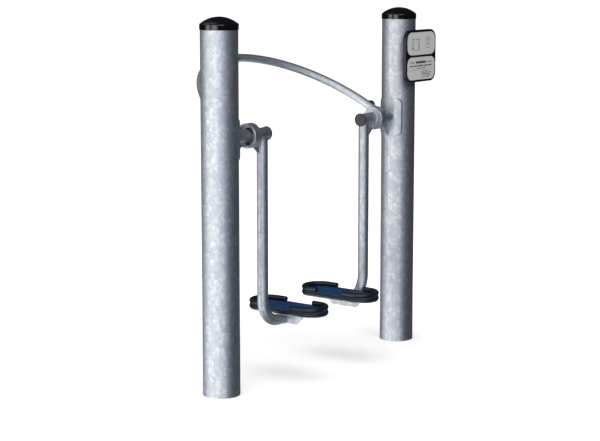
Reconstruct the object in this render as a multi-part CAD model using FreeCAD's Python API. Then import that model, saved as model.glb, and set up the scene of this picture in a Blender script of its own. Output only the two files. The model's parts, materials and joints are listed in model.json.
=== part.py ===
import FreeCAD, Part

import math
import os

V = FreeCAD.Vector

# Outdoor air walker: two posts, two free swinging legs, one bowed handlebar and an information sign.
# Millimetres, +Z up, +X from the left post to the right post, +Y the way the user faces.
# The origin lies on the ground midway between the posts.
# Hub and leg pieces are laid out by d, the distance from a post axis towards the other post.

# Posts and caps
POST_SPACING = 1160.0
POST_OD = 139.7
POST_WALL = 5.0
POST_TOP = 1369.0
CAP_OVERHANG = 2.2
CAP_SKIRT_DEPTH = 13.0
CAP_RIM_HEIGHT = 20.0
CAP_DOME_HEIGHT = 27.0
CAP_SHOULDER = 5.0
CAP_WALL = 3.5
CAP_PLUG_WALL = 3.2
CAP_PLUG_DEPTH = 28.0
CAP_CLEARANCE = 0.3

# Hub, fixed side
AXLE_Z = 956.0
SADDLE_THICKNESS = 5.0
SADDLE_WIDTH = 104.0
SADDLE_HEIGHT = 155.0
SADDLE_CORNER = 22.0
SADDLE_DROP = 3.0
STUB_OD = 48.3
STUB_WALL = 5.0
STUB_END_D = 158.0
AXLE_PLUG_LENGTH = 46.0
SHOULDER_STEP = 4.5
THREAD_STEP = 2.5
THREAD_OVERHANG = 1.5
NUT_HEIGHT = 9.0
NUT_FLANGE_CLEARANCE = 3.0
NUT_FLANGE_STEP = 3.0
NUT_FLANGE_THICKNESS = 3.0
RIB_THICKNESS = 10.0
UPPER_RIB_PROUD = 3.85
LOWER_RIB_PROUD = 14.35
RIB_GAP = 1.0
LOWER_RIB_TOE_DEPTH = 80.0
LOWER_RIB_HEEL_D = 117.0
BUFFER_WIDTH = 13.0
BUFFER_START_D = 151.0
BUFFER_END_GAP = 0.5
BUFFER_UPPER_HEIGHT = 6.0
BUFFER_CLEARANCE = 4.0

# Hub, swinging side
HOUSING_OD = 94.0
HOUSING_START_D = 150.0
HOUSING_FRONT_THICKNESS = 22.0
HOUSING_CHAMFER = 1.5
HOUSING_WALL = 7.0
RECESS_FLOOR_D = 165.0
LUG_START_D = 157.0
LUG_HALF_ANGLE = 20.0
LUG_CLEARANCE = 3.35
PIVOT_OD = 48.3
PIVOT_WALL = 8.15
PIVOT_END_D = 272.5
PIVOT_END_WALL = 3.15
COUNTERBORE_START_D = 247.0
BUSH_LENGTH = 26.0
BUSH_WALL = 3.5
BUSH_FLANGE_THICKNESS = 3.0
BUSH_FLANGE_CLEARANCE = 1.0
RUNNING_CLEARANCE = 0.05
END_PLAY = 0.3
END_CAP_OVERHANG = 2.35
END_CAP_THICKNESS = 5.5
END_CAP_EDGE = 3.5
END_CAP_PLUG_WALL = 2.0
END_CAP_PLUG_LENGTH = 8.0

# Swing arm
ARM_SETBACK = 3.3
ARM_OD = 42.4
ARM_WALL = 4.0
ARM_BEND_RADIUS = 91.0
ARM_FOOT_Z = 225.0
ARM_END_D = 378.0
GUSSET_THICKNESS = 8.0
GUSSET_DEPTH = 94.0
GUSSET_INSET = 7.0

# Pedal
PEDAL_D = 409.0
PEDAL_LENGTH = 353.0
PEDAL_WIDTH = 145.0
PEDAL_GAP = 0.3
BASE_PLATE_THICKNESS = 2.5
BASE_PLATE_INSET = 4.0
PAD_THICKNESS = 14.5
PAD_LAND = 1.16
TREAD_THICKNESS = 4.0
TREAD_INSET = 2.0
BUMPER_DIAMETER = 20.0
BUMPER_LONG_ARM = 47.0
BUMPER_SHORT_ARM = 33.0
BUMPER_FLAT = 0.4
BUMPER_TIP_FILLET = 4.0
BRACKET_THICKNESS = 6.0
BRACKET_TOP_LENGTH = 184.0
BRACKET_BOTTOM_LENGTH = 124.0
BRACKET_SHOULDER = 10.0
BRACKET_DEPTH_BELOW_ARM = 19.0
BRACKET_CORNER = 12.0
BRACKET_BEND = 3.0
PEDAL_BOLT_DIAMETER = 8.0
PEDAL_BOLT_SPACING = 140.0
PEDAL_BOLT_OFFSET = 6.0
PEDAL_BOLT_FLATS = 13.0
PEDAL_BOLT_HEAD = 5.5
PEDAL_BOLT_COVER = 1.2
WASHER_DIAMETER = 17.0
WASHER_THICKNESS = 1.6
BOLT_HOLE_CLEARANCE = 0.6

# Handlebar
BAR_OD = 33.0
BAR_WALL = 2.6
BAR_D = 106.0
BAR_END_RADIUS = 457.0
BAR_RISE_ANGLE = 31.0
BAR_CENTRE_OUT = 21.0
BAR_END_GAP = 1.85
SPIGOT_CLEARANCE = 0.2
SPIGOT_REACH = 110.0
BAR_SCREW_REACH = 80.0
BAR_SCREW_LEAN = 40.0
BAR_SCREW_DIAMETER = 8.0
BAR_SCREW_DEPTH = 8.5
SCREW_HOLE_CLEARANCE = 0.3
BUTTON_DIAMETER = 13.0
BUTTON_HEIGHT = 4.4
SOCKET_DIAMETER = 5.0
SOCKET_DEPTH = 2.5
SCREW_CAP_DIAMETER = 36.0
SCREW_CAP_HEIGHT = 8.5
SCREW_CAP_SINK = 2.5

# Sign
SIGN_WIDTH = 222.0
SIGN_HEIGHT = 214.0
SIGN_THICKNESS = 15.0
SIGN_STANDOFF = 27.15
SIGN_DROP = 163.0
SIGN_CORNER = 38.0
SIGN_EDGE = 3.0
SIGN_MARGIN = 9.5
SIGN_DIVIDER = 9.0
SIGN_PAD_WIDTH = 70.0
SIGN_PAD_HEIGHT = 140.0
SIGN_PAD_CORNER = 12.0
PANEL_CORNER = 30.0
PANEL_THICKNESS = 1.5
PANEL_POCKET = 1.0
SIGN_SCREW_SPACING = 90.0
SIGN_SCREW_DIAMETER = 3.9
SIGN_SCREW_HEAD = 7.5
SIGN_SCREW_SINK = 0.2
SIGN_SCREW_TIP = 3.0

POST_X = POST_SPACING / 2.0
POST_R = POST_OD / 2.0
POST_BORE_R = POST_R - POST_WALL
CAP_R = POST_R + CAP_OVERHANG
CAP_SKIRT_Z = POST_TOP - CAP_SKIRT_DEPTH
CAP_RIM_Z = CAP_SKIRT_Z + CAP_RIM_HEIGHT
CROWN_Z = CAP_RIM_Z + CAP_DOME_HEIGHT
SADDLE_R = POST_R + SADDLE_THICKNESS
RIB_END_D = HOUSING_START_D - RIB_GAP
STUB_R = STUB_OD / 2.0
RECESS_R = HOUSING_OD / 2.0 - HOUSING_WALL
BUFFER_LOWER_R = RECESS_R - BUFFER_CLEARANCE
BUFFER_UPPER_R = STUB_R + BUFFER_UPPER_HEIGHT
LUG_INNER_R = STUB_R + LUG_CLEARANCE
HOUSING_END_D = RECESS_FLOOR_D + HOUSING_FRONT_THICKNESS
PIVOT_R = PIVOT_OD / 2.0
PIVOT_BORE_R = PIVOT_R - PIVOT_WALL
COUNTERBORE_R = PIVOT_R - PIVOT_END_WALL
BUSH_FLANGE_R = COUNTERBORE_R - BUSH_FLANGE_CLEARANCE
JOURNAL_R = PIVOT_BORE_R - BUSH_WALL
SHOULDER_R = JOURNAL_R + SHOULDER_STEP
THREAD_R = JOURNAL_R - THREAD_STEP
NUT_FLANGE_R = COUNTERBORE_R - NUT_FLANGE_CLEARANCE
NUT_FLATS = 2 * (NUT_FLANGE_R - NUT_FLANGE_STEP)
SHOULDER_END_D = RECESS_FLOOR_D - BUSH_FLANGE_THICKNESS - END_PLAY
BUFFER_END_D = SHOULDER_END_D - BUFFER_END_GAP
NUT_START_D = COUNTERBORE_START_D + BUSH_FLANGE_THICKNESS + END_PLAY
AXLE_END_D = NUT_START_D + NUT_FLANGE_THICKNESS + NUT_HEIGHT + THREAD_OVERHANG
ARM_R = ARM_OD / 2.0
ARM_D = PIVOT_END_D - ARM_SETBACK - ARM_R
PEDAL_BOTTOM_Z = ARM_FOOT_Z + ARM_R + PEDAL_GAP
PAD_BOTTOM_Z = PEDAL_BOTTOM_Z + BASE_PLATE_THICKNESS
TREAD_BOTTOM_Z = PAD_BOTTOM_Z + PAD_THICKNESS
TREAD_TOP_Z = TREAD_BOTTOM_Z + TREAD_THICKNESS
BOLT_HOLE = PEDAL_BOLT_DIAMETER + BOLT_HOLE_CLEARANCE
BAR_R = BAR_OD / 2.0
BAR_END_REACH = STUB_R + BAR_END_GAP
BAR_SHIFT = POST_X - BAR_D - BAR_END_RADIUS
BAR_CROWN_RADIUS = BAR_END_RADIUS + math.sqrt(2) * BAR_SHIFT
SPIGOT_R = BAR_R - BAR_WALL - SPIGOT_CLEARANCE
SIGN_Z = POST_TOP - SIGN_DROP
SIGN_BACK_Y = -POST_R - SIGN_STANDOFF
SIGN_FRONT_Y = SIGN_BACK_Y - SIGN_THICKNESS
PANEL_BACK_Y = SIGN_FRONT_Y + PANEL_POCKET
PANEL_HEIGHT = (SIGN_HEIGHT - 2 * SIGN_MARGIN - SIGN_DIVIDER) / 2.0
RISE = math.radians(BAR_RISE_ANGLE)

# Short straight left between the two quarter circles of a round end
ROUND_END_LAND = 0.0145

# Lengths that only run a cut or a blank past a surface
PAST = 1.0
FAR_PAST = 60.0

X_AXIS = V(1, 0, 0)
Y_AXIS = V(0, 1, 0)
Z_AXIS = V(0, 0, 1)
BAR_OUT = V(0, math.cos(RISE), math.sin(RISE))
BAR_UP = V(0, -math.sin(RISE), math.cos(RISE))


def at(d, y, z):
    """Point of the left half, d being measured inboard from the post axis."""
    return V(d - POST_X, y, z)


def hub_cylinder(radius, d0, d1):
    """Cylinder about the left axle between two distances from the post."""
    return Part.makeCylinder(radius, d1 - d0, at(d0, 0, AXLE_Z), X_AXIS)


def hub_ring(outer, inner, d0, d1):
    """Ring about the left axle."""
    return hub_cylinder(outer, d0, d1).cut(hub_cylinder(inner, d0 - PAST, d1 + PAST))


def post_cylinder(radius, z0, z1):
    """Upright cylinder about the left post axis."""
    return Part.makeCylinder(radius, z1 - z0, V(-POST_X, 0, z0), Z_AXIS)


def saddle_outside():
    """Everything inside the outer face of the saddle plate, which the hub pieces end on."""
    return post_cylinder(SADDLE_R, AXLE_Z - SADDLE_HEIGHT, AXLE_Z + SADDLE_HEIGHT)


def plate_from(points, depth):
    """Prism from a closed polygon and a depth vector."""
    return Part.Face(Part.makePolygon(points + [points[0]])).extrude(depth)


def hexagon(centre, axis, u, v, flats, height):
    """Hexagon prism of a nut or bolt head, standing on its centre point."""
    radius = flats / math.sqrt(3)
    corners = []
    for k in range(6):
        a = math.radians(60 * k)
        corners.append(centre + u * (radius * math.cos(a)) + v * (radius * math.sin(a)))
    return plate_from(corners, axis * height)


def rounded_face(width, height, radius, centre, u, v):
    """Flat rounded rectangle with its sides along the unit vectors u and v."""
    hu = width / 2.0 - radius
    hv = height / 2.0 - radius
    diagonal = radius * math.sqrt(0.5)
    arcs = []
    for su, sv in ((1, 1), (-1, 1), (-1, -1), (1, -1)):
        c = centre + u * (su * hu) + v * (sv * hv)
        on_u = c + u * (su * radius)
        on_v = c + v * (sv * radius)
        middle = c + u * (su * diagonal) + v * (sv * diagonal)
        first, last = (on_u, on_v) if su * sv > 0 else (on_v, on_u)
        arcs.append((first, middle, last))
    edges = [Part.Arc(*arc).toShape() for arc in arcs]
    for k in range(4):
        start = arcs[k][2]
        end = arcs[(k + 1) % 4][0]
        edges.append(Part.makeLine(start, end))
    return Part.Face(Part.Wire(Part.__sortEdges__(edges)))


def stadium(inset, z0, z1):
    """Plate with round ends, its length along Y, inset from the outline of the left pedal."""
    width = PEDAL_WIDTH - 2 * inset
    length = PEDAL_LENGTH - 2 * inset
    face = rounded_face(width, length, width / 2.0 - ROUND_END_LAND, at(PEDAL_D, 0, z0), X_AXIS, Y_AXIS)
    return face.extrude(V(0, 0, z1 - z0))


def edges_at(shape, test):
    """Edges whose bounding box centre satisfies the test."""
    return [e for e in shape.Edges if test(e.BoundBox.Center, e)]


def near(a, b):
    return abs(a - b) < 0.01


def both_sides(shape):
    return [shape, shape.mirror(V(0, 0, 0), X_AXIS)]


def post():
    return post_cylinder(POST_R, 0, POST_TOP).cut(post_cylinder(POST_BORE_R, -PAST, POST_TOP + PAST))


def post_cap():
    """Lid cap: a skirt over the tube, a seat on its end, a plug ring inside and a shallow dome."""
    sphere_r = (CAP_R ** 2 + CAP_DOME_HEIGHT ** 2) / (2 * CAP_DOME_HEIGHT)
    sphere_centre = V(-POST_X, 0, CROWN_Z - sphere_r)
    dome = Part.makeSphere(sphere_r, sphere_centre)
    body = dome.common(post_cylinder(CAP_R, CAP_SKIRT_Z, CROWN_Z + PAST))
    shoulder = edges_at(body, lambda c, e: near(c.z, CAP_RIM_Z) and e.Length > math.pi * CAP_R)
    body = body.makeFillet(CAP_SHOULDER, shoulder)
    plug_r = POST_BORE_R - CAP_CLEARANCE
    plug_bottom = POST_TOP - CAP_PLUG_DEPTH
    hollow_r = plug_r - CAP_PLUG_WALL
    hollow = Part.makeSphere(sphere_r - CAP_WALL, sphere_centre)
    hollow = hollow.common(post_cylinder(hollow_r, plug_bottom - PAST, CROWN_Z))
    hollow = hollow.fuse(post_cylinder(hollow_r, plug_bottom - PAST, POST_TOP))
    seat = post_cylinder(POST_R + CAP_CLEARANCE, CAP_SKIRT_Z - PAST, POST_TOP)
    plug = post_cylinder(plug_r, plug_bottom, POST_TOP + PAST)
    return body.cut(seat).fuse(plug).cut(hollow).removeSplitter()


def saddle_plate():
    """Curved plate that spreads the axle load over the post wall."""
    shell = saddle_outside().cut(post_cylinder(POST_R, 0, POST_TOP))
    centre = at(0, 0, AXLE_Z - SADDLE_DROP)
    outline = rounded_face(SADDLE_WIDTH, SADDLE_HEIGHT, SADDLE_CORNER, centre, Y_AXIS, Z_AXIS)
    return shell.common(outline.extrude(X_AXIS * (SADDLE_R + PAST)))


def stub_tube():
    tube = hub_ring(STUB_R, STUB_R - STUB_WALL, POST_R / 2.0, STUB_END_D)
    return tube.cut(saddle_outside())


def axle():
    """Plug welded in the stub, thrust shoulder, bearing journal and threaded end."""
    journal_end = NUT_START_D - END_PLAY
    shaft = hub_cylinder(STUB_R - STUB_WALL, STUB_END_D - AXLE_PLUG_LENGTH, STUB_END_D)
    shaft = shaft.fuse(hub_cylinder(SHOULDER_R, STUB_END_D, SHOULDER_END_D))
    shaft = shaft.fuse(hub_cylinder(JOURNAL_R, SHOULDER_END_D, journal_end))
    shaft = shaft.fuse(hub_cylinder(THREAD_R, journal_end, AXLE_END_D)).removeSplitter()
    tip = edges_at(shaft, lambda c, e: near(c.x + POST_X, AXLE_END_D))
    return shaft.makeChamfer(THREAD_OVERHANG, tip)


def rib(profile):
    """Upright web plate on the axle plane, fitted to the stub and the saddle.

    The profile is a list of d and height above the axle."""
    points = [at(d, -RIB_THICKNESS / 2.0, AXLE_Z + height) for d, height in profile]
    shape = plate_from(points, V(0, RIB_THICKNESS, 0))
    return shape.cut(hub_cylinder(STUB_R, 0, STUB_END_D + PAST)).cut(saddle_outside())


def upper_rib():
    top = STUB_R + UPPER_RIB_PROUD
    return rib([(POST_R, 0), (RIB_END_D, 0), (RIB_END_D, top), (POST_R, top)])


def lower_rib():
    """The deeper web, with a slanted heel against the saddle."""
    depth = STUB_R + LOWER_RIB_PROUD
    return rib([
        (POST_R, 0),
        (RIB_END_D, 0),
        (RIB_END_D, -depth),
        (LOWER_RIB_HEEL_D, -depth),
        (SADDLE_R - 2 * PAST, -LOWER_RIB_TOE_DEPTH),
        (POST_R, -LOWER_RIB_TOE_DEPTH),
    ])


def stop_buffer():
    """One rubber moulding: a ring on the axle's shoulder with blocks over the end of the stub.

    The block above is low and the one below is taller."""
    shape = hub_ring(STUB_R, SHOULDER_R, STUB_END_D, BUFFER_END_D)
    length = BUFFER_END_D - BUFFER_START_D
    for radius, low in ((BUFFER_UPPER_R, 0), (BUFFER_LOWER_R, -BUFFER_LOWER_R)):
        corner = at(BUFFER_START_D, -BUFFER_WIDTH / 2.0, AXLE_Z + low)
        block = Part.makeBox(length, BUFFER_WIDTH, radius, corner)
        shape = shape.fuse(block.common(hub_cylinder(radius, BUFFER_START_D, BUFFER_END_D)))
    shape = shape.cut(hub_cylinder(STUB_R, BUFFER_START_D - PAST, STUB_END_D))
    return shape.cut(hub_cylinder(SHOULDER_R, STUB_END_D - PAST, BUFFER_END_D + PAST)).removeSplitter()


def lock_nut():
    """Flanged hexagon nut on the threaded end of the axle."""
    face_d = NUT_START_D + NUT_FLANGE_THICKNESS
    nut = hub_cylinder(NUT_FLANGE_R, NUT_START_D, face_d)
    nut = nut.fuse(hexagon(at(face_d, 0, AXLE_Z), X_AXIS, Y_AXIS, Z_AXIS, NUT_FLATS, NUT_HEIGHT))
    return nut.cut(hub_cylinder(THREAD_R, NUT_START_D - PAST, PIVOT_END_D)).removeSplitter()


def hub_housing():
    """Cup around the stops: outer ring, front wall and two lugs that meet the rubber blocks."""
    cup = hub_cylinder(HOUSING_OD / 2.0, HOUSING_START_D, HOUSING_END_D)
    cup = cup.makeChamfer(HOUSING_CHAMFER, edges_at(cup, lambda c, e: near(e.BoundBox.XLength, 0)))
    cup = cup.cut(hub_cylinder(RECESS_R, HOUSING_START_D - PAST, RECESS_FLOOR_D))
    half = math.radians(LUG_HALF_ANGLE)
    into_wall = RECESS_R + 2 * PAST
    reach = into_wall / math.cos(half) + PAST
    for side in (1, -1):
        fan = [at(LUG_START_D, 0, AXLE_Z)]
        for a in (-half, half):
            fan.append(at(LUG_START_D, side * reach * math.cos(a), AXLE_Z + reach * math.sin(a)))
        lug = plate_from(fan, V(RECESS_FLOOR_D - LUG_START_D, 0, 0))
        cup = cup.fuse(lug.common(hub_ring(into_wall, LUG_INNER_R, LUG_START_D, RECESS_FLOOR_D)))
    return cup.cut(hub_cylinder(PIVOT_R, RECESS_FLOOR_D - PAST, HOUSING_END_D + PAST)).removeSplitter()


def pivot_tube():
    tube = hub_ring(PIVOT_R, PIVOT_BORE_R, RECESS_FLOOR_D, PIVOT_END_D)
    return tube.cut(hub_cylinder(COUNTERBORE_R, COUNTERBORE_START_D, PIVOT_END_D + PAST))


def flanged_bush(seat_d, inward):
    """Bronze bush pressed in the pivot tube from one end, running on the journal."""
    far_d = seat_d + inward * BUSH_LENGTH
    face_d = seat_d - inward * BUSH_FLANGE_THICKNESS
    barrel = hub_cylinder(PIVOT_BORE_R, min(seat_d, far_d), max(seat_d, far_d))
    flange = hub_cylinder(BUSH_FLANGE_R, min(seat_d, face_d), max(seat_d, face_d))
    bore = JOURNAL_R + RUNNING_CLEARANCE
    shape = barrel.fuse(flange).cut(hub_cylinder(bore, STUB_END_D, PIVOT_END_D))
    return shape.removeSplitter()


def end_cap():
    """Snap-in cap closing the pivot tube."""
    end = PIVOT_END_D + END_CAP_THICKNESS
    disc = hub_cylinder(PIVOT_R + END_CAP_OVERHANG, PIVOT_END_D, end)
    disc = disc.makeFillet(END_CAP_EDGE, edges_at(disc, lambda c, e: near(c.x + POST_X, end)))
    plug_inner_r = COUNTERBORE_R - END_CAP_PLUG_WALL
    plug = hub_ring(COUNTERBORE_R, plug_inner_r, PIVOT_END_D - END_CAP_PLUG_LENGTH, PIVOT_END_D)
    return disc.fuse(plug).removeSplitter()


def arm_path():
    """Centre line of the swing arm: down, one bend inboard, then level to the pedal bracket."""
    top = at(ARM_D, 0, AXLE_Z)
    bend_start = at(ARM_D, 0, ARM_FOOT_Z + ARM_BEND_RADIUS)
    s = ARM_BEND_RADIUS * (1 - math.sqrt(0.5))
    bend_middle = at(ARM_D + s, 0, ARM_FOOT_Z + s)
    bend_end = at(ARM_D + ARM_BEND_RADIUS, 0, ARM_FOOT_Z)
    foot = at(ARM_END_D, 0, ARM_FOOT_Z)
    arc = Part.Arc(bend_start, bend_middle, bend_end).toShape()
    return Part.Wire([Part.makeLine(top, bend_start), arc, Part.makeLine(bend_end, foot)])


def swept_rod(path, start, direction, radius):
    """Round rod along a path of tangent lines and arcs."""
    profile = Part.Wire(Part.makeCircle(radius, start, direction))
    return Part.makeSolid(path.makePipeShell([profile], True, False))


def arm_tube():
    start = at(ARM_D, 0, AXLE_Z)
    tube = swept_rod(arm_path(), start, Z_AXIS, ARM_R)
    tube = tube.cut(swept_rod(arm_path(), start, Z_AXIS, ARM_R - ARM_WALL))
    return tube.cut(hub_cylinder(PIVOT_R, HOUSING_END_D, PIVOT_END_D + FAR_PAST))


def arm_gusset():
    """Flat web between housing, pivot tube and arm."""
    edge = -HOUSING_OD / 2.0 + HOUSING_CHAMFER
    profile = [(HOUSING_END_D, 0), (HOUSING_END_D, edge), (HOUSING_END_D + GUSSET_INSET, edge)]
    profile += [(ARM_D, -GUSSET_DEPTH), (ARM_D, 0)]
    half = GUSSET_THICKNESS / 2.0
    shape = plate_from([at(d, -half, AXLE_Z + height) for d, height in profile], V(0, 2 * half, 0))
    shape = shape.cut(hub_cylinder(PIVOT_R, HOUSING_END_D - PAST, PIVOT_END_D))
    length = 2 * GUSSET_DEPTH
    return shape.cut(Part.makeCylinder(ARM_R, length, at(ARM_D, 0, AXLE_Z - length), Z_AXIS))


def bolt_holes(diameter, z0, z1):
    """The two vertical bolt holes of the left pedal."""
    holes = []
    for side in (1, -1):
        base = at(PEDAL_D + PEDAL_BOLT_OFFSET, side * PEDAL_BOLT_SPACING / 2.0, z0)
        holes.append(Part.makeCylinder(diameter / 2.0, z1 - z0, base, Z_AXIS))
    return holes[0].fuse(holes[1])


def pedal_bracket():
    """Folded angle: an upright flange that takes the arm and a level flange under the pedal."""
    d0 = ARM_END_D
    top = PEDAL_BOTTOM_Z
    bottom = ARM_FOOT_Z - BRACKET_DEPTH_BELOW_ARM
    t = BRACKET_THICKNESS
    width = 2 * (PEDAL_D - ARM_END_D)
    high = BRACKET_TOP_LENGTH / 2.0
    low = BRACKET_BOTTOM_LENGTH / 2.0
    shoulder = top - BRACKET_SHOULDER
    profile = [(-high, top), (-high, shoulder), (-low, bottom), (low, bottom), (high, shoulder), (high, top)]
    upright = plate_from([at(d0, y, z) for y, z in profile], V(t, 0, 0))
    level = Part.makeBox(width, 2 * high, t, at(d0, -high, top - t))
    corners = edges_at(level, lambda c, e: near(c.x + POST_X, d0 + width) and near(e.BoundBox.ZLength, t))
    shape = upright.fuse(level.makeFillet(BRACKET_CORNER, corners)).removeSplitter()
    fold = edges_at(shape, lambda c, e: near(c.x + POST_X, d0) and near(c.z, top))
    shape = shape.makeFillet(BRACKET_BEND, fold)
    return shape.cut(bolt_holes(BOLT_HOLE, top - t - PAST, top + PAST))


def base_plate():
    plate = stadium(BASE_PLATE_INSET, PEDAL_BOTTOM_Z, PAD_BOTTOM_Z)
    return plate.cut(bolt_holes(BOLT_HOLE, PEDAL_BOTTOM_Z - PAST, PAD_BOTTOM_Z + PAST))


def edge_pad():
    """Rubber layer between the plates with a rounded outer edge."""
    pad = stadium(0, PAD_BOTTOM_Z, TREAD_BOTTOM_Z)
    rims = edges_at(pad, lambda c, e: near(e.BoundBox.ZLength, 0))
    pad = pad.makeFillet((PAD_THICKNESS - PAD_LAND) / 2.0, rims)
    return pad.cut(bolt_holes(BOLT_HOLE, PAD_BOTTOM_Z - PAST, TREAD_BOTTOM_Z + PAST))


def tread_plate():
    plate = stadium(TREAD_INSET, TREAD_BOTTOM_Z, TREAD_TOP_Z)
    return plate.cut(bolt_holes(PEDAL_BOLT_DIAMETER, TREAD_BOTTOM_Z - PAST, TREAD_TOP_Z - PEDAL_BOLT_COVER))


def bumper(turn):
    """C-shaped rubber foot stop: a half ring with one long and one short arm, flat underneath."""
    r = (PEDAL_WIDTH - BUMPER_DIAMETER) / 2.0
    centre_y = (PEDAL_LENGTH - PEDAL_WIDTH) / 2.0
    z = TREAD_TOP_Z + BUMPER_DIAMETER / 2.0 - BUMPER_FLAT
    long_y = centre_y - BUMPER_LONG_ARM
    short_y = centre_y - BUMPER_SHORT_ARM
    far = at(PEDAL_D + r, long_y, z)
    far_bend = at(PEDAL_D + r, centre_y, z)
    crown = at(PEDAL_D, centre_y + r, z)
    near_bend = at(PEDAL_D - r, centre_y, z)
    tip = at(PEDAL_D - r, short_y, z)
    arc = Part.Arc(far_bend, crown, near_bend).toShape()
    path = Part.Wire([Part.makeLine(far, far_bend), arc, Part.makeLine(near_bend, tip)])
    rod = swept_rod(path, far, Y_AXIS, BUMPER_DIAMETER / 2.0)
    rims = edges_at(rod, lambda c, e: near(e.BoundBox.YLength, 0))
    ends = [e for e in rims if any(near(e.BoundBox.YMin, y) for y in (long_y, short_y))]
    rod = rod.makeFillet(BUMPER_TIP_FILLET, ends)
    corner = at(PEDAL_D - PEDAL_WIDTH, -PEDAL_LENGTH, TREAD_TOP_Z - BUMPER_DIAMETER)
    rod = rod.cut(Part.makeBox(2 * PEDAL_WIDTH, 2 * PEDAL_LENGTH, BUMPER_DIAMETER, corner))
    rod.rotate(at(PEDAL_D, 0, 0), Z_AXIS, turn)
    return rod


def pedal_bolt(side):
    """Hexagon bolt from below, through bracket, base plate and pad into the tread plate."""
    under = PEDAL_BOTTOM_Z - BRACKET_THICKNESS
    seat = under - WASHER_THICKNESS
    d = PEDAL_D + PEDAL_BOLT_OFFSET
    y = side * PEDAL_BOLT_SPACING / 2.0
    length = TREAD_TOP_Z - PEDAL_BOLT_COVER - under
    bolt = Part.makeCylinder(PEDAL_BOLT_DIAMETER / 2.0, length, at(d, y, under), Z_AXIS)
    bolt = bolt.fuse(Part.makeCylinder(WASHER_DIAMETER / 2.0, WASHER_THICKNESS, at(d, y, seat), Z_AXIS))
    head = hexagon(at(d, y, seat), -Z_AXIS, X_AXIS, Y_AXIS, PEDAL_BOLT_FLATS, PEDAL_BOLT_HEAD)
    return bolt.fuse(head).removeSplitter()


def in_bar_plane(x, out):
    """Point of the slanted plane of the handlebar, which holds the axle axis."""
    return V(x, 0, AXLE_Z) + BAR_OUT * (BAR_CENTRE_OUT + out)


def end_arc_point(angle):
    """Point on the arc at the left end of the bar, the angle in degrees from where it runs straight out."""
    a = math.radians(angle)
    return in_bar_plane(-BAR_SHIFT - BAR_END_RADIUS * math.cos(a), BAR_END_RADIUS * math.sin(a))


def end_arc_angle(reach):
    """Angle on the end arc of the point at a distance out from the axle."""
    return math.degrees((reach - BAR_CENTRE_OUT) / BAR_END_RADIUS)


def end_arc_rod(radius, reach):
    """Round rod on the end arc, from its start to a distance out from the axle."""
    disc = Part.Face(Part.Wire(Part.makeCircle(radius, end_arc_point(0), BAR_OUT)))
    return disc.revolve(in_bar_plane(-BAR_SHIFT, 0), BAR_UP, -end_arc_angle(reach))


def bar_path():
    """Centre line of the handlebar: a wide crown arc between two end arcs, joined at 45 degrees."""
    start = end_arc_angle(BAR_END_REACH)
    left = Part.Arc(end_arc_point(start), end_arc_point(22.5), end_arc_point(45))
    crown_out = BAR_CROWN_RADIUS - BAR_SHIFT
    crown = Part.Arc(end_arc_point(45), in_bar_plane(0, crown_out), mirrored_point(end_arc_point(45)))
    right = Part.Arc(*[mirrored_point(end_arc_point(a)) for a in (45, 22.5, start)])
    return Part.Wire([arc.toShape() for arc in (left, crown, right)])


def mirrored_point(point):
    return V(-point.x, point.y, point.z)


def screw_axis():
    """Direction of the left bar screw: square to the bar and leaning away from the user."""
    a = math.radians(end_arc_angle(BAR_SCREW_REACH))
    lean = math.radians(BAR_SCREW_LEAN)
    outboard = BAR_OUT * math.sin(a) - X_AXIS * math.cos(a)
    return BAR_UP * math.cos(lean) + outboard * math.sin(lean)


def screw_point(height):
    """Point on the axis of the left bar screw at a height over the bar's centre."""
    return end_arc_point(end_arc_angle(BAR_SCREW_REACH)) + screw_axis() * height


def screw_cylinder(radius, low, high):
    """Cylinder on the axis of the left bar screw, between two heights over the bar's centre."""
    return Part.makeCylinder(radius, high - low, screw_point(low), screw_axis())


def handlebar():
    """Bowed tube whose ends stand clear of the stubs."""
    a = math.radians(end_arc_angle(BAR_END_REACH))
    start = end_arc_point(math.degrees(a))
    along = X_AXIS * math.sin(a) + BAR_OUT * math.cos(a)
    tube = swept_rod(bar_path(), start, along, BAR_R)
    tube = tube.cut(swept_rod(bar_path(), start, along, BAR_R - BAR_WALL))
    hole_radius = BAR_SCREW_DIAMETER / 2.0 + SCREW_HOLE_CLEARANCE
    for hole in both_sides(screw_cylinder(hole_radius, 0, BAR_OD)):
        tube = tube.cut(hole)
    return tube


def handle_spigot():
    """Bent round bar welded on the stub; the end of the handlebar slides over it."""
    bent = end_arc_rod(SPIGOT_R, SPIGOT_REACH)
    straight = Part.makeCylinder(SPIGOT_R, BAR_CENTRE_OUT, at(BAR_D, 0, AXLE_Z), BAR_OUT)
    shape = bent.fuse(straight).removeSplitter()
    shape = shape.cut(hub_cylinder(STUB_R, BAR_D - FAR_PAST, BAR_D + FAR_PAST))
    return shape.cut(screw_cylinder(BAR_SCREW_DIAMETER / 2.0, -BAR_SCREW_DEPTH, BAR_OD))


def handle_screw():
    """Button head screw that locks the handlebar on its spigot."""
    top = BAR_R + BUTTON_HEIGHT
    shank = screw_cylinder(BAR_SCREW_DIAMETER / 2.0, -BAR_SCREW_DEPTH, BAR_R + PAST)
    head = screw_cylinder(BUTTON_DIAMETER / 2.0, BAR_R - 2 * PAST, top)
    head = head.cut(end_arc_rod(BAR_R, 2 * SPIGOT_REACH))
    socket = screw_cylinder(SOCKET_DIAMETER / 2.0, top - SOCKET_DEPTH, top + PAST)
    return shank.fuse(head).cut(socket).removeSplitter()


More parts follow.
